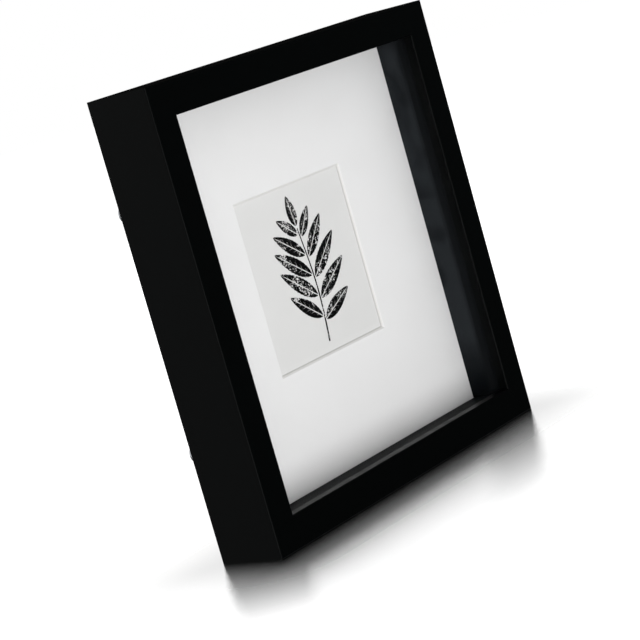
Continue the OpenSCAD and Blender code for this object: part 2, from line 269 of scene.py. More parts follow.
def spacer_board(base):
    """Board faced with black paper. It is duller than the rails, with a faint fibre. Fibres are
    0.05 mm wide and are drawn at 0.8 mm to show."""
    material, tree, place = new_material("black_paper_faced_board")
    fibre = add_node(tree, "ShaderNodeTexNoise", {
        "Vector": place, "Scale": per(0.8), "Detail": 4.0,
    })
    sheen = add_node(tree, "ShaderNodeMapRange", {"Value": fibre, "To Min": 0.4, "To Max": 0.65})
    relief = add_node(tree, "ShaderNodeBump", {
        "Height": fibre, "Distance": 0.02 * MM, "Strength": 0.3,
    })
    shader = add_node(tree, "ShaderNodeBsdfPrincipled", {
        "Base Color": base, "Roughness": sheen, "Specular IOR Level": 0.05, "Normal": relief,
    })
    add_node(tree, "ShaderNodeOutputMaterial", {"Surface": shader})
    return material


def float_glass():
    """Clear float glass, 2 mm thick. It mirrors the room in front faintly. Lamps and soft light
    pass straight through it, so that the mount behind is lit without noise."""
    material, tree, _ = new_material("clear_float_glass")
    shader = add_node(tree, "ShaderNodeBsdfPrincipled", {
        "Base Color": WHITE, "Roughness": 0.0, "IOR": 1.52, "Transmission Weight": 1.0,
    })
    path = add_node(tree, "ShaderNodeLightPath")
    passing = add_node(tree, "ShaderNodeMath", {
        0: path.outputs["Is Shadow Ray"], 1: path.outputs["Is Diffuse Ray"],
    }, operation="MAXIMUM")
    clear = add_node(tree, "ShaderNodeBsdfTransparent")
    blend = add_node(tree, "ShaderNodeMixShader", {0: passing, 1: shader, 2: clear})
    add_node(tree, "ShaderNodeOutputMaterial", {"Surface": blend})
    return material


def mount_board(looks, front, back):
    """Mount board. The facing paper is pressed smooth, with a slight tooth, drawn at 0.45 mm to
    show, and a very slight unevenness of white. The slanting cut bares the warmer core. The grey
    lining paper shows as a fine line at the print only on the right and below. There it is a
    painted shadow line where the bevel's foot lies in shade. The line is drawn three times as
    thick as real paper to show."""
    seam = 0.03 * MM
    material, tree, place = new_material("cut_white_mount_board")
    fibre = add_node(tree, "ShaderNodeTexNoise", {
        "Vector": place, "Scale": per(0.45), "Detail": 5.0,
    })
    cloud = add_node(tree, "ShaderNodeTexNoise", {
        "Vector": place, "Scale": per(28), "Detail": 2.0,
    })
    facing = add_node(tree, "ShaderNodeMix", {
        "Factor": cloud, "A": shade_of(looks.facing, 0.975), "B": shade_of(looks.facing, 1.02),
    }, data_type="RGBA")
    depth = add_node(tree, "ShaderNodeSeparateXYZ", {"Vector": place}).outputs["Y"]
    cut = add_node(tree, "ShaderNodeMapRange", {
        "Value": depth, "From Min": front + looks.facing_t,
        "From Max": front + looks.facing_t + seam,
    })
    deep = add_node(tree, "ShaderNodeMath", {
        0: depth, 1: back - looks.lining_t,
    }, operation="GREATER_THAN")
    # The cut's right side faces left, and its lower side faces up. The lining line is painted on
    # these two sides only, as painted shade
    turned = add_node(tree, "ShaderNodeVectorMath", {
        0: add_node(tree, "ShaderNodeNewGeometry").outputs["True Normal"], 1: (-1.0, 0.0, 1.0),
    }, operation="DOT_PRODUCT")
    shaded_sides = add_node(tree, "ShaderNodeMath", {0: turned, 1: 0.5}, operation="GREATER_THAN")
    painted_shade_line = add_node(tree, "ShaderNodeMath", {0: deep, 1: shaded_sides}, operation="MULTIPLY")
    inside = add_node(tree, "ShaderNodeMix", {
        "Factor": painted_shade_line, "A": looks.core, "B": looks.lining,
    }, data_type="RGBA")
    board = add_node(tree, "ShaderNodeMix", {
        "Factor": cut, "A": facing, "B": inside,
    }, data_type="RGBA")
    relief = add_node(tree, "ShaderNodeBump", {
        "Height": fibre, "Distance": 0.02 * MM, "Strength": 0.4,
    })
    shader = add_node(tree, "ShaderNodeBsdfPrincipled", {
        "Base Color": board, "Roughness": 0.88, "Specular IOR Level": 0.25, "Normal": relief,
    })
    add_node(tree, "ShaderNodeOutputMaterial", {"Surface": shader})
    return material


def print_paper(base):
    """Uncoated print paper, a little greyer than the mount, with a fine even tooth. The tooth is
    0.1 mm wide and is drawn at 0.35 mm."""
    material, tree, place = new_material("uncoated_print_paper")
    tooth = add_node(tree, "ShaderNodeTexNoise", {
        "Vector": place, "Scale": per(0.35), "Detail": 4.0,
    })
    shades = add_node(tree, "ShaderNodeMix", {
        "Factor": tooth, "A": shade_of(base, 0.97), "B": shade_of(base, 1.03),
    }, data_type="RGBA")
    relief = add_node(tree, "ShaderNodeBump", {
        "Height": tooth, "Distance": 0.015 * MM, "Strength": 0.4,
    })
    shader = add_node(tree, "ShaderNodeBsdfPrincipled", {
        "Base Color": shades, "Roughness": 0.9, "Specular IOR Level": 0.2, "Normal": relief,
    })
    add_node(tree, "ShaderNodeOutputMaterial", {"Surface": shader})
    return material


def leaf_ink(ink, paper):
    """Black relief ink, dabbed on a leaf and pressed by hand. It covers in patches, and leaves
    specks of paper bare where the leaf's skin was low. Real specks are 0.3 mm wide and are drawn
    at 0.9 mm to show."""
    material, tree, place = new_material("dabbed_black_relief_ink")
    specks = add_node(tree, "ShaderNodeTexNoise", {
        "Vector": place, "Scale": per(0.9), "Detail": 2.0,
    })
    patches = add_node(tree, "ShaderNodeTexNoise", {
        "Vector": place, "Scale": per(6), "Detail": 1.0,
    })
    cover = add_node(tree, "ShaderNodeMapRange", {
        "Value": patches, "From Min": 0.35, "From Max": 0.6, "To Min": 0.54, "To Max": 0.78,
    })
    bare = add_node(tree, "ShaderNodeMath", {0: specks, 1: cover}, operation="SUBTRACT")
    share = add_node(tree, "ShaderNodeMapRange", {
        "Value": bare, "From Min": 0.0, "From Max": 0.03,
    })
    shades = add_node(tree, "ShaderNodeMix", {
        "Factor": share, "A": ink, "B": paper,
    }, data_type="RGBA")
    shader = add_node(tree, "ShaderNodeBsdfPrincipled", {
        "Base Color": shades, "Roughness": 0.75, "Specular IOR Level": 0.06,
    })
    add_node(tree, "ShaderNodeOutputMaterial", {"Surface": shader})
    return material


def linen_tape(base):
    """Gummed linen tape, a plain weave with two threads to the millimetre. A wave texture draws
    3.2 bands to its unit, so the unit is 1.6 mm."""
    material, tree, place = new_material("gummed_linen_tape")
    warp, weft = (
        add_node(tree, "ShaderNodeTexWave", {
            "Vector": place, "Scale": per(1.6),
        }, bands_direction=axis).outputs["Fac"]
        for axis in "XZ"
    )
    cloth = add_node(tree, "ShaderNodeMath", {0: warp, 1: weft}, operation="MULTIPLY")
    shades = add_node(tree, "ShaderNodeMix", {
        "Factor": cloth, "A": shade_of(base, 0.8), "B": base,
    }, data_type="RGBA")
    relief = add_node(tree, "ShaderNodeBump", {
        "Height": cloth, "Distance": 0.05 * MM, "Strength": 0.6,
    })
    shader = add_node(tree, "ShaderNodeBsdfPrincipled", {
        "Base Color": shades, "Roughness": 0.9, "Specular IOR Level": 0.2, "Normal": relief,
    })
    add_node(tree, "ShaderNodeOutputMaterial", {"Surface": shader})
    return material


def pulp_board(name, base, fleck, width):
    """Board pressed from pulp, flecked with darker and lighter fibre. The flecks' width is in
    millimetres, and their strength is a share of the base colour."""
    material, tree, place = new_material(name)
    flecks = add_node(tree, "ShaderNodeTexNoise", {
        "Vector": place, "Scale": per(width), "Detail": 5.0, "Roughness": 0.7,
    })
    shades = add_node(tree, "ShaderNodeMix", {
        "Factor": flecks, "A": shade_of(base, 1 - fleck), "B": shade_of(base, 1 + fleck),
    }, data_type="RGBA")
    relief = add_node(tree, "ShaderNodeBump", {
        "Height": flecks, "Distance": 0.03 * MM, "Strength": 0.4,
    })
    shader = add_node(tree, "ShaderNodeBsdfPrincipled", {
        "Base Color": shades, "Roughness": 0.9, "Specular IOR Level": 0.2, "Normal": relief,
    })
    add_node(tree, "ShaderNodeOutputMaterial", {"Surface": shader})
    return material


def fibreboard(base):
    """Medium-density fibreboard, sanded. It shows a close mottle of pressed fibres, with a few
    dark ones, and has a dull face. Fibres are 0.1 mm wide and are drawn at 0.6 mm to show."""
    material, tree, place = new_material("sanded_fibreboard")
    mottle = add_node(tree, "ShaderNodeTexNoise", {
        "Vector": place, "Scale": per(1.8), "Detail": 6.0, "Roughness": 0.75,
    })
    cloud = add_node(tree, "ShaderNodeTexNoise", {
        "Vector": place, "Scale": per(40), "Detail": 3.0,
    })
    laid = add_node(tree, "ShaderNodeMapping", {
        "Vector": place, "Rotation": (0, math.radians(25), 0),
        "Scale": (per(4), per(4), per(0.6)),
    })
    dark = add_node(tree, "ShaderNodeTexNoise", {"Vector": laid, "Scale": 1.0, "Detail": 2.0})
    ground = add_node(tree, "ShaderNodeMix", {
        "Factor": mottle, "A": shade_of(base, 0.55), "B": shade_of(base, 1.45),
    }, data_type="RGBA")
    haze = add_node(tree, "ShaderNodeMapRange", {"Value": cloud, "To Min": 0.0, "To Max": 0.4})
    clouded = add_node(tree, "ShaderNodeMix", {
        "Factor": haze, "A": ground, "B": shade_of(base, 0.75),
    }, data_type="RGBA")
    picked = add_node(tree, "ShaderNodeMapRange", {
        "Value": dark, "From Min": 0.64, "From Max": 0.72, "To Min": 0.0, "To Max": 0.5,
    })
    flecked = add_node(tree, "ShaderNodeMix", {
        "Factor": picked, "A": clouded, "B": shade_of(base, 0.35),
    }, data_type="RGBA")
    relief = add_node(tree, "ShaderNodeBump", {
        "Height": mottle, "Distance": 0.03 * MM, "Strength": 0.35,
    })
    shader = add_node(tree, "ShaderNodeBsdfPrincipled", {
        "Base Color": flecked, "Roughness": 0.78, "Specular IOR Level": 0.25, "Normal": relief,
    })
    add_node(tree, "ShaderNodeOutputMaterial", {"Surface": shader})
    return material


def zinc_plate(base):
    """Steel stamped and plated with bright zinc. The plating is slightly clouded, and the marks
    of the rolled strip spread its highlights. Marks are 0.05 mm wide and are drawn at 0.3 mm."""
    material, tree, place = new_material("bright_zinc_plated_steel")
    cloud = add_node(tree, "ShaderNodeTexNoise", {
        "Vector": place, "Scale": per(4), "Detail": 3.0,
    })
    rolled = add_node(tree, "ShaderNodeMapping", {
        "Vector": place, "Scale": (per(0.3), per(0.3), per(4)),
    })
    marks = add_node(tree, "ShaderNodeTexNoise", {"Vector": rolled, "Scale": 1.0, "Detail": 3.0})
    shades = add_node(tree, "ShaderNodeMix", {
        "Factor": cloud, "A": shade_of(base, 0.7), "B": shade_of(base, 1.1),
    }, data_type="RGBA")
    polish = add_node(tree, "ShaderNodeMapRange", {
        "Value": marks, "To Min": 0.16, "To Max": 0.42,
    })
    relief = add_node(tree, "ShaderNodeBump", {
        "Height": marks, "Distance": 0.01 * MM, "Strength": 0.3,
    })
    shader = add_node(tree, "ShaderNodeBsdfPrincipled", {
        "Base Color": shades, "Metallic": 1.0, "Roughness": polish, "Normal": relief,
    })
    add_node(tree, "ShaderNodeOutputMaterial", {"Surface": shader})
    return material


def nail_steel(base):
    """Bare spring steel, rolled and sheared, greyer and duller than the plated fittings."""
    material, tree, place = new_material("sheared_spring_steel")
    marks = add_node(tree, "ShaderNodeTexNoise", {
        "Vector": place, "Scale": per(0.5), "Detail": 3.0,
    })
    polish = add_node(tree, "ShaderNodeMapRange", {
        "Value": marks, "To Min": 0.3, "To Max": 0.55,
    })
    shader = add_node(tree, "ShaderNodeBsdfPrincipled", {
        "Base Color": base, "Metallic": 1.0, "Roughness": polish,
    })
    add_node(tree, "ShaderNodeOutputMaterial", {"Surface": shader})
    return material


def bumper_rubber(base):
    """Soft moulded rubber, matt, with a faint bloom."""
    material, tree, place = new_material("moulded_black_rubber")
    bloom = add_node(tree, "ShaderNodeTexNoise", {
        "Vector": place, "Scale": per(1.2), "Detail": 3.0,
    })
    shades = add_node(tree, "ShaderNodeMix", {
        "Factor": bloom, "A": shade_of(base, 0.7), "B": shade_of(base, 1.8),
    }, data_type="RGBA")
    dull = add_node(tree, "ShaderNodeMapRange", {"Value": bloom, "To Min": 0.6, "To Max": 0.85})
    relief = add_node(tree, "ShaderNodeBump", {
        "Height": bloom, "Distance": 0.01 * MM, "Strength": 0.4,
    })
    shader = add_node(tree, "ShaderNodeBsdfPrincipled", {
        "Base Color": shades, "Roughness": dull, "Specular IOR Level": 0.3, "Normal": relief,
    })
    add_node(tree, "ShaderNodeOutputMaterial", {"Surface": shader})
    return material


def finish_nodes(names, material):
    """Gives CAD nodes their finish."""
    for name in names:
        for slot in frame["nodes"][name].material_slots:
            slot.material = material


def make_active(piece):
    """Deselects everything else, so that the next operator acts on this piece alone."""
    bpy.ops.object.select_all(action="DESELECT")
    piece.select_set(True)
    bpy.context.view_layer.objects.active = piece


def apply_modifier(piece, kind, **settings):
    """Adds a modifier to the active piece and applies it."""
    modifier = piece.modifiers.new(kind.title(), kind)
    for name, value in settings.items():
        setattr(modifier, name, value)
    bpy.ops.object.modifier_apply(modifier=modifier.name)


def merged_copy(node_name):
    """Copies a CAD piece with its loose triangles merged into plain faces, and makes it active."""
    source = frame["nodes"][node_name]
    piece = source.copy()
    piece.data = source.data.copy()
    piece.name = piece.data.name = f"{node_name}_finished"
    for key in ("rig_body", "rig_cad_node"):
        del piece[key]
    piece.parent = None
    bpy.context.scene.collection.objects.link(piece)
    make_active(piece)
    bpy.ops.object.mode_set(mode="EDIT")
    bpy.ops.mesh.select_all(action="SELECT")
    bpy.ops.mesh.remove_doubles(threshold=MERGE_GAP)
    bpy.ops.mesh.dissolve_limited(angle_limit=FLAT_TURN)
    bpy.ops.object.mode_set(mode="OBJECT")
    return piece


def ease_edges(piece, width, segments):
    """Rounds the active piece's sharp edges."""
    apply_modifier(
        piece, "BEVEL", width=width, segments=segments, limit_method="ANGLE",
        angle_limit=ROUNDED_TURN, miter_outer="MITER_SHARP", use_clamp_overlap=True,
    )


def put_in_place(piece, node_name, material):
    """Smooths a finished copy, gives it its finish and lets it stand for its CAD piece."""
    bpy.ops.object.shade_smooth_by_angle(angle=CRISP_TURN)
    apply_modifier(piece, "WEIGHTED_NORMAL", keep_sharp=True)
    piece.data.materials.clear()
    piece.data.materials.append(material)
    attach(piece, frame["nodes"][node_name]["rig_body"])
    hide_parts(node_name)


def eased_copy(node_name, width, material, segments=2):
    """Replaces a CAD piece with a copy whose sharp edges are rounded by that width."""
    piece = merged_copy(node_name)
    ease_edges(piece, width, segments)
    put_in_place(piece, node_name, material)


class SHADOWBOX_OT_rails(bpy.types.Operator):
    """Lacquers the four mitred rails and eases their edges"""

    bl_idname = "shadow_box.rails"
    bl_label = "Rails"

    def execute(self, context):
        looks = context.scene.shadow_box_frame
        finishes = {axis: lacquered_wood(looks.lacquer, axis) for axis in (0, 2)}
        for name, axis in RAIL_AXES.items():
            eased_copy(name, looks.rail_ease, finishes[axis], segments=1)
        return {"FINISHED"}


class SHADOWBOX_OT_glazing(bpy.types.Operator):
    """Finishes the glass and the black spacer strips behind it"""

    bl_idname = "shadow_box.glazing"
    bl_label = "Glass and spacers"

    def execute(self, context):
        looks = context.scene.shadow_box_frame
        eased_copy("glass_pane", looks.glass_ease, float_glass(), segments=1)
        board = spacer_board(looks.spacer)
        for name in SPACERS:
            eased_copy(name, looks.spacer_ease, board)
        return {"FINISHED"}


class SHADOWBOX_OT_mount(bpy.types.Operator):
    """Finishes the window mount"""

    bl_idname = "shadow_box.mount"
    bl_label = "Window mount"

    def execute(self, context):
        looks = context.scene.shadow_box_picture
        low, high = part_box("window_mount")
        finish_nodes(["window_mount"], mount_board(looks, low.y, high.y))
        return {"FINISHED"}


def leaflet_half(foot, tip, width, gap, side):
    """Outline of one half of a leaflet. Its straight edge runs beside the bare middle vein, with
    slits for the bare side veins, and its outer edge bows out in small teeth."""
    along = (tip - foot).normalized()
    across = Vector((-along.y, along.x)) * side
    length = (tip - foot).length
    # The last vein and the last tooth stop short of the tip
    veins, vein_steps, vein_reach, slit = 6, 7.5, 0.6, 0.3 * gap
    teeth, tooth_steps, tooth_run, notch = 11, 11.4, 0.85, 0.92

    def reach(t):
        # Fullest a little before the middle, with blunt ends
        return gap / 2 + (width - gap) / 2 * math.sin(math.pi * t ** 0.8) ** 0.8

    outline = [foot + across * gap / 2]
    for i in range(1, veins + 1):
        t = i / vein_steps
        run = vein_reach * reach(t)
        for step, out in ((-slit, gap / 2), (run, run), (slit, gap / 2)):
            outline.append(foot + along * (t * length + step) + across * out)
    outline.append(tip)
    for i in range(teeth, 0, -1):
        for place, share in ((i, 1.0), (i - tooth_run, notch)):
            t = place / tooth_steps
            outline.append(foot + along * t * length + across * max(reach(t) * share, gap / 2))
    return outline


def frond_outlines(looks):
    """Flat outlines of the frond: its stem, its pairs of leaflets and the leaflet at its tip."""
    # Places on the stem, as shares of the frond's height
    first_pair, pairs_span, stagger, stem_end = 0.16, 0.57, 0.012, 0.78
    # The stem bows in this many half waves, and loses this share of its width by the very top
    bows, taper, stem_steps, nudge = 1.4, 0.5, 24, 0.01
    # Angles from the stem in degrees: the lowest pair's, and how much less the highest pair's is
    spread_low, spread_less = 60, 14
    # Leaflets grow and shrink with an arch, and the pairs take up this stretch of it
    arch_start, arch_span, arch_fullness = 0.32, 0.5, 0.9
    # Where a leaflet starts beside the stem, in stem widths, and the shape of the one at the tip
    foot_out, tip_share, tip_slimness = 0.9, 0.21, 0.85

    def stem_point(t):
        bow = looks.frond_bend * math.sin(bows * math.pi * t)
        return Vector((bow, looks.frond_h * (t - 0.5)))

    def stem_frame(t):
        run = (stem_point(t + nudge) - stem_point(t - nudge)).normalized()
        return Vector((-run.y, run.x)), run

    outlines = []
    edge = []
    for i in range(stem_steps + 1):
        t = stem_end * i / stem_steps
        edge.append((stem_point(t), stem_frame(t)[0] * looks.stem_w / 2 * (1 - taper * t)))
    outlines.append([p - w for p, w in edge] + [p + w for p, w in reversed(edge)])
    for i in range(looks.leaflet_pairs):
        rank = i / (looks.leaflet_pairs - 1)
        height = first_pair + pairs_span * rank
        across, run = stem_frame(height)
        size = math.sin(math.pi * (arch_start + arch_span * rank)) ** arch_fullness
        spread = math.radians(spread_low - spread_less * rank)
        width = looks.leaflet_w * size ** 0.5
        for side in (-1, 1):
            start = stem_point(height + stagger * side)
            foot = start + across * side * looks.stem_w * foot_out
            heading = across * side * math.sin(spread) + run * math.cos(spread)
            tip = foot + heading * looks.leaflet_l * size
            for half in (-1, 1):
                outlines.append(leaflet_half(foot, tip, width, looks.vein_w, half))
    _, run = stem_frame(stem_end)
    foot = stem_point(stem_end) + run * looks.stem_w
    tip = foot + run * looks.frond_h * tip_share
    for half in (-1, 1):
        width = looks.leaflet_w * tip_slimness
        outlines.append(leaflet_half(foot, tip, width, looks.vein_w, half))
    return outlines


class SHADOWBOX_OT_print(bpy.types.Operator):
    """Finishes the print's paper and lays an inked frond on it"""

    bl_idname = "shadow_box.print"
    bl_label = "Print"

    def execute(self, context):
        looks = context.scene.shadow_box_picture
        finish_nodes(["print_sheet"], print_paper(looks.paper))
        curve = bpy.data.curves.new("leaf_print_ink", "CURVE")
        curve.dimensions = "2D"
        curve.fill_mode = "BOTH"
        curve.extrude = looks.ink_t / 2
        for outline in frond_outlines(looks):
            spline = curve.splines.new("POLY")
            spline.points.add(len(outline) - 1)
            for point, place in zip(spline.points, outline):
                point.co = (place.x, place.y, 0, 1)
            spline.use_cyclic_u = True
        piece = bpy.data.objects.new("leaf_print_ink", curve)
        context.scene.collection.objects.link(piece)
        make_active(piece)
        bpy.ops.object.convert(target="MESH")
        piece = context.object
        low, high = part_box("print_sheet")
        middle = (low + high) / 2
        piece.data.transform(Matrix.Rotation(math.radians(90), 4, "X"))
        piece.data.transform(Matrix.Translation((middle.x, low.y, middle.z)))
        piece.data.materials.clear()
        piece.data.materials.append(leaf_ink(looks.ink, looks.paper))
        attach(piece, "frame")
        return {"FINISHED"}


class SHADOWBOX_OT_back(bpy.types.Operator):
    """Finishes the boards behind the print and the back panel"""

    bl_idname = "shadow_box.back"
    bl_label = "Back boards"

    def execute(self, context):
        looks = context.scene.shadow_box_back
        finish_nodes(["hinge_tapes"], linen_tape(looks.tape))
        finish_nodes(["undermount"], pulp_board("grey_pulp_board", looks.grey_board, 0.2, 0.9))
        finish_nodes(["filler_board"], pulp_board("kraft_filler_board", looks.kraft, 0.25, 1.6))
        eased_copy("back_panel", looks.panel_ease, fibreboard(looks.fibreboard))
        return {"FINISHED"}


class SHADOWBOX_OT_fittings(bpy.types.Operator):
    """Finishes the turn buttons, screws, hanger, nails and wall bumpers"""

    bl_idname = "shadow_box.fittings"
    bl_label = "Back fittings"

    def execute(self, context):
        looks = context.scene.shadow_box_back
        zinc = zinc_plate(looks.zinc)
        for name in PLATED_PARTS:
            eased_copy(name, looks.metal_ease, zinc)
        finish_nodes(["corner_v_nails"], nail_steel(looks.nail_steel))
        rubber = bumper_rubber(looks.rubber)
        for name in WALL_BUMPERS:
            eased_copy(name, looks.rubber_ease, rubber)
        return {"FINISHED"}


def room_in_front(tree, looks, heading, axes):
    """The dim room in front of the frame, as gloss shows it. It is palest on the frame's right,
    where the glass mirrors it in soft patches, and dark towards the floor."""
    patches = add_node(tree, "ShaderNodeTexNoise", {
        "Vector": heading, "Scale": 40.0, "Detail": 2.0, "Distortion": 1.2,
    })
    patched = add_node(tree, "ShaderNodeMapRange", {
        "Value": patches, "From Min": 0.36, "From Max": 0.56, "To Min": 0.4, "To Max": 1.2,
    })
    to_right = add_node(tree, "ShaderNodeMapRange", {
        "Value": axes.outputs["X"], "From Min": 0.77, "From Max": 0.8,
        "To Min": 0.12, "To Max": 1.0,
    }, interpolation_type="SMOOTHSTEP")
    off_floor = add_node(tree, "ShaderNodeMapRange", {
        "Value": axes.outputs["Z"], "From Min": -0.19, "From Max": -0.16,
        "To Min": 0.02, "To Max": 1.0,
    }, interpolation_type="SMOOTHSTEP")
    pale = add_node(tree, "ShaderNodeMath", {0: to_right, 1: off_floor}, operation="MULTIPLY")
    level = add_node(tree, "ShaderNodeMath", {0: pale, 1: patched}, operation="MULTIPLY")
    return add_node(tree, "ShaderNodeMix", {
        "Factor": level, "A": BLACK, "B": looks.room,
    }, data_type="RGBA")


def walls_behind(tree, heading, axes):
    """The pale walls behind the frame, between a darker floor and ceiling, as soft gloss shows
    them. They are dimmer on the right, with a dark opening there, which keeps the frame's top
    face black where the camera looks along it."""
    bands = add_node(tree, "ShaderNodeValToRGB", {
        "Fac": add_node(tree, "ShaderNodeMapRange", {
            "Value": axes.outputs["Z"], "From Min": -1.0,
        }),
    })
    entries = bands.color_ramp.elements
    for place, level in ((0.25, 0.3), (0.45, 0.75), (0.55, 1.0), (0.72, 0.85), (0.85, 0.3)):
        entries.new(place).color = (level, level, level, 1.0)
    entries[0].color = (0.1, 0.1, 0.1, 1.0)
    entries[-1].color = (0.2, 0.2, 0.2, 1.0)
    lit = add_node(tree, "ShaderNodeMapRange", {
        "Value": axes.outputs["X"], "From Min": 0.0, "From Max": 0.6,
        "To Min": 1.0, "To Max": 0.3,
    }, interpolation_type="SMOOTHSTEP")
    opening = Vector((0.74, 0.62, 0.25)).normalized()
    to_opening = add_node(tree, "ShaderNodeVectorMath", {
        0: heading, 1: opening,
    }, operation="DOT_PRODUCT")
    closed = add_node(tree, "ShaderNodeMapRange", {
        "Value": to_opening, "From Min": 0.8, "From Max": 0.92, "To Min": 1.0, "To Max": 0.04,
    }, interpolation_type="SMOOTHSTEP")
    level = add_node(tree, "ShaderNodeMath", {0: lit, 1: closed}, operation="MULTIPLY")
    return add_node(tree, "ShaderNodeMix", {
        "Factor": level, "A": BLACK, "B": bands,
    }, data_type="RGBA")


def studio_world(looks):
    """A white studio. The camera sees a white background, and soft light comes from all round,
    most of it from the frame's left. Gloss sees pale walls behind the frame and a dim room in
    front, and the floor's mirror sees plain white above it."""
    world = bpy.data.worlds.new("white_studio")
    bpy.context.scene.world = world
    world.use_nodes = True
    # Every ray reads the same nodes only when the world isn't sampled as a lamp
    world.cycles.sampling_method = "NONE"
    tree = world.node_tree
    tree.nodes.clear()
    path = add_node(tree, "ShaderNodeLightPath")
    heading = add_node(tree, "ShaderNodeTexCoord").outputs["Generated"]
    axes = add_node(tree, "ShaderNodeSeparateXYZ", {"Vector": heading})
    # Mirrors, such as glass and polish, send singular rays, and softer gloss doesn't
    sharp = path.outputs["Is Singular Ray"]
    room = room_in_front(tree, looks, heading, axes)
    front_light = Vector((-0.57, -0.8, -0.19)).normalized()
    to_light = add_node(tree, "ShaderNodeVectorMath", {
        0: heading, 1: front_light,
    }, operation="DOT_PRODUCT")
    light_seen = add_node(tree, "ShaderNodeMapRange", {
        "Value": to_light, "From Min": 0.86, "From Max": 0.97, "To Max": looks.sheen_level,
    })
    lit_room = add_node(tree, "ShaderNodeMix", {
        "Factor": 1.0, "A": room, "B": light_seen,
    }, data_type="RGBA", blend_type="ADD")
    front = add_node(tree, "ShaderNodeMix", {
        "Factor": sharp, "A": lit_room, "B": room,
    }, data_type="RGBA")
    back = add_node(tree, "ShaderNodeMix", {
        "Factor": sharp, "A": walls_behind(tree, heading, axes), "B": WHITE,
    }, data_type="RGBA")
    behind = add_node(tree, "ShaderNodeMapRange", {
        "Value": axes.outputs["Y"], "From Min": -0.45, "From Max": 0.3,
    }, interpolation_type="SMOOTHSTEP")
    above = add_node(tree, "ShaderNodeMath", {
        0: axes.outputs["Z"], 1: 0.0,
    }, operation="GREATER_THAN")
    by_mirror = add_node(tree, "ShaderNodeMath", {
        0: sharp, 1: path.outputs["Is Glossy Ray"],
    }, operation="MULTIPLY")
    over_floor = add_node(tree, "ShaderNodeMath", {0: by_mirror, 1: above}, operation="MULTIPLY")
    white_side = add_node(tree, "ShaderNodeMath", {
        0: behind, 1: over_floor,
    }, operation="MAXIMUM")
    mirrored = add_node(tree, "ShaderNodeMix", {
        "Factor": white_side, "A": front, "B": back,
    }, data_type="RGBA")
    fill = add_node(tree, "ShaderNodeMapRange", {
        "Value": axes.outputs["X"], "From Min": -1.0,
        "To Min": looks.fill_left, "To Max": looks.fill_right,
    })
    by_gloss = add_node(tree, "ShaderNodeMath", {
        0: path.outputs["Is Glossy Ray"], 1: path.outputs["Is Transmission Ray"],
    }, operation="MAXIMUM")
    indirect = add_node(tree, "ShaderNodeMix", {
        "Factor": by_gloss, "A": fill, "B": mirrored,
    }, data_type="RGBA")
    final = add_node(tree, "ShaderNodeMix", {
        "Factor": path.outputs["Is Camera Ray"], "A": indirect, "B": WHITE,
    }, data_type="RGBA")
    background = add_node(tree, "ShaderNodeBackground", {"Color": final, "Strength": 1.0})
    add_node(tree, "ShaderNodeOutputWorld", {"Surface": background})


def gap_to_foot(tree, place, low, high):
    """How far a point of the floor lies from the frame's foot."""
    axes = add_node(tree, "ShaderNodeSeparateXYZ", {"Vector": place})
    gaps = {}
    for axis, name in enumerate("XY"):
        middle, half = (low[axis] + high[axis]) / 2, (high[axis] - low[axis]) / 2
        off = add_node(tree, "ShaderNodeMath", {
            0: axes.outputs[name], 1: middle,
        }, operation="SUBTRACT")
        out = add_node(tree, "ShaderNodeMath", {0: off}, operation="ABSOLUTE")
        beyond = add_node(tree, "ShaderNodeMath", {0: out, 1: half}, operation="SUBTRACT")
        gaps[name] = add_node(tree, "ShaderNodeMath", {0: beyond, 1: 0.0}, operation="MAXIMUM")
    sides = add_node(tree, "ShaderNodeCombineXYZ", gaps)
    return add_node(tree, "ShaderNodeVectorMath", {0: sides}, operation="LENGTH").outputs["Value"]


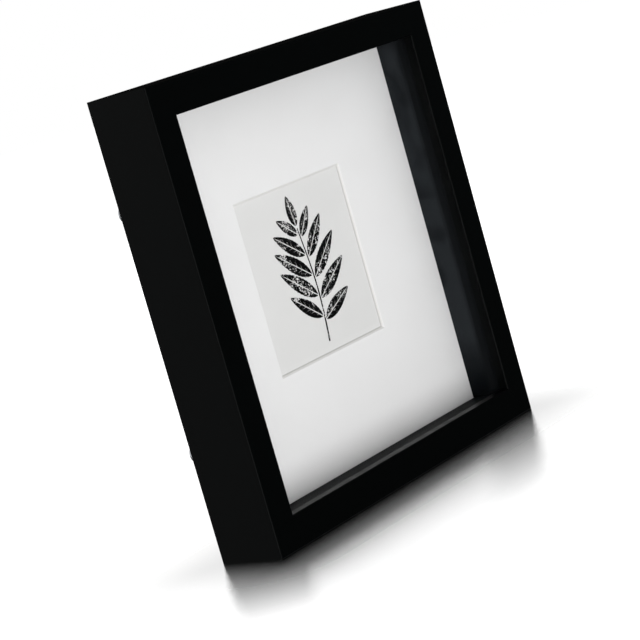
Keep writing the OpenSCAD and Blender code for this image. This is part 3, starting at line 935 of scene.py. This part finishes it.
def polished_floor(looks, low, high):
    """White floor, polished. It mirrors the frame's foot. The reflection fades with the distance
    from the foot, a grain in the polish blurs it, and a shade painted into the mirror's colour
    dims it near the foot. The grain is finer than any pixel. The camera sees some white in the
    floor itself, so that it meets the background unseen, and the frame's shadow stays."""
    # Above 1, the reflection fades slowly at first
    fade_bend = 1.25
    material, tree, place = new_material("polished_white_floor")
    path = add_node(tree, "ShaderNodeLightPath")
    mirrored = add_node(tree, "ShaderNodeMath", {
        0: path.outputs["Is Glossy Ray"], 1: path.outputs["Is Transmission Ray"],
    }, operation="MAXIMUM")
    seen = add_node(tree, "ShaderNodeMath", {
        0: path.outputs["Is Camera Ray"], 1: mirrored,
    }, operation="MAXIMUM")
    glow = add_node(tree, "ShaderNodeMath", {0: seen, 1: looks.floor_glow}, operation="MULTIPLY")
    lamp = add_node(tree, "ShaderNodeEmission", {"Strength": glow})
    paint = add_node(tree, "ShaderNodeBsdfDiffuse", {"Color": looks.floor_paint})
    white = add_node(tree, "ShaderNodeAddShader", {0: paint, 1: lamp})
    gap = gap_to_foot(tree, place, low, high)
    reach = add_node(tree, "ShaderNodeMapRange", {"Value": gap, "From Max": looks.floor_fade})
    fading = add_node(tree, "ShaderNodeMath", {0: reach, 1: fade_bend}, operation="POWER")
    grain = add_node(tree, "ShaderNodeTexWhiteNoise", {"Vector": place}).outputs["Color"]
    uneven = add_node(tree, "ShaderNodeVectorMath", {
        0: grain, 1: (0.5, 0.5, 0.5),
    }, operation="SUBTRACT")
    lean = add_node(tree, "ShaderNodeVectorMath", {
        0: uneven, 1: (2 * looks.floor_blur,) * 2 + (0.0,), 2: (0.0, 0.0, 1.0),
    }, operation="MULTIPLY_ADD")
    normal = add_node(tree, "ShaderNodeVectorMath", {0: lean}, operation="NORMALIZE")
    # Painted shade: the mirror's colour darkens towards the frame's foot
    painted_foot_shade = add_node(tree, "ShaderNodeMapRange", {
        "Value": gap, "From Min": 0.0, "From Max": looks.floor_shade,
        "To Min": 0.82, "To Max": 1.0,
    }, interpolation_type="SMOOTHSTEP")
    mirror = add_node(tree, "ShaderNodeBsdfGlossy", {
        "Color": painted_foot_shade, "Roughness": 0.0, "Normal": normal,
    })
    surface = add_node(tree, "ShaderNodeMixShader", {0: fading, 1: mirror, 2: white})
    add_node(tree, "ShaderNodeOutputMaterial", {"Surface": surface})
    return material


def studio_floor(looks, low, high):
    """The floor that the frame stands on."""
    bpy.ops.object.select_all(action="DESELECT")
    bpy.ops.mesh.primitive_plane_add(size=looks.floor_size)
    floor = bpy.context.object
    floor.name = "studio_floor"
    floor.data.materials.append(polished_floor(looks, low, high))
    # The room's light passes under the frame as over it, as on a lit shooting table
    floor.visible_shadow = False
    floor.visible_glossy = False
    floor.visible_transmission = False


def studio_camera(looks):
    """The camera, at the photograph's angle and tilt."""
    azimuth, elevation, roll = looks.azimuth, looks.elevation, looks.roll
    back = Vector((
        -math.sin(azimuth) * math.cos(elevation),
        -math.cos(azimuth) * math.cos(elevation),
        math.sin(elevation),
    ))
    level = Vector((0, 0, 1)).cross(back).normalized()
    right = level * math.cos(roll) + back.cross(level) * math.sin(roll)
    up = back.cross(right)
    place = Vector((looks.target_x, 0, looks.target_z)) + back * looks.distance
    turn = Matrix((right, up, back)).transposed().to_euler()
    bpy.ops.object.camera_add(location=place, rotation=turn)
    camera = bpy.context.object
    camera.data.lens = looks.lens
    camera.data.dof.use_dof = False
    bpy.context.scene.camera = camera


def soft_light(name, place, target, size, power):
    """A rectangular soft light that faces its target and isn't seen itself."""
    facing = Vector(target) - Vector(place)
    turn = facing.to_track_quat("-Z", "Z").to_euler()
    bpy.ops.object.light_add(type="AREA", location=place, rotation=turn)
    lamp = bpy.context.object
    lamp.name = name
    lamp.data.shape = "RECTANGLE"
    lamp.data.size, lamp.data.size_y = size
    lamp.data.energy = power
    lamp.visible_camera = False
    lamp.visible_glossy = False
    lamp.visible_transmission = False


class SHADOWBOX_OT_stage(bpy.types.Operator):
    """Sets the camera, the floor and the soft light"""

    bl_idname = "shadow_box.stage"
    bl_label = "Stage"

    def execute(self, context):
        looks = context.scene.shadow_box_stage
        rails = [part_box(name) for name in RAIL_AXES]
        low = [min(box[0][axis] for box in rails) for axis in (0, 1)]
        high = [max(box[1][axis] for box in rails) for axis in (0, 1)]
        studio_camera(looks)
        studio_world(looks)
        studio_floor(looks, low, high)
        soft_light(
            "low_front_light", place=(-1.0, -1.4, -0.215), target=(-1.0, 0, -0.215),
            size=(1.6, 1.1), power=looks.front_power,
        )
        soft_light(
            "back_light", place=(0.8, 1.4, 0.9), target=(0, 0, 0.1),
            size=(1.0, 1.0), power=looks.back_power,
        )
        context.scene.view_settings.view_transform = "Standard"
        return {"FINISHED"}


STEPS = (
    SHADOWBOX_OT_stage, SHADOWBOX_OT_rails, SHADOWBOX_OT_glazing, SHADOWBOX_OT_mount,
    SHADOWBOX_OT_print, SHADOWBOX_OT_back, SHADOWBOX_OT_fittings,
)
GROUPS = {
    "shadow_box_frame": SHADOWBOX_PG_frame, "shadow_box_picture": SHADOWBOX_PG_picture,
    "shadow_box_back": SHADOWBOX_PG_back, "shadow_box_stage": SHADOWBOX_PG_stage,
}


class SHADOWBOX_PT_panel(bpy.types.Panel):
    """Lists the steps that finish the frame, and the sizes and colours that they use."""

    bl_idname = "SHADOWBOX_PT_panel"
    bl_label = "Shadow Box"
    bl_space_type = "VIEW_3D"
    bl_region_type = "UI"
    bl_category = "Shadow Box"

    def draw(self, context):
        for step in STEPS:
            self.layout.operator(step.bl_idname)
        for name, group in GROUPS.items():
            box = self.layout.box()
            for value in group.__annotations__:
                box.prop(getattr(context.scene, name), value)


CLASSES = (*GROUPS.values(), *STEPS, SHADOWBOX_PT_panel)


def register():
    """Registers the classes and gives the scene its groups of values."""
    for entry in CLASSES:
        bpy.utils.register_class(entry)
    for name, group in GROUPS.items():
        setattr(bpy.types.Scene, name, bpy.props.PointerProperty(type=group))


def unregister():
    """Takes the groups of values and the classes away again."""
    for name in GROUPS:
        delattr(bpy.types.Scene, name)
    for entry in reversed(CLASSES):
        bpy.utils.unregister_class(entry)


def main():
    """Runs every step in order."""
    register()
    for step in STEPS:
        group, action = step.bl_idname.split(".")
        getattr(getattr(bpy.ops, group), action)()


if __name__ == "__main__":
    main()
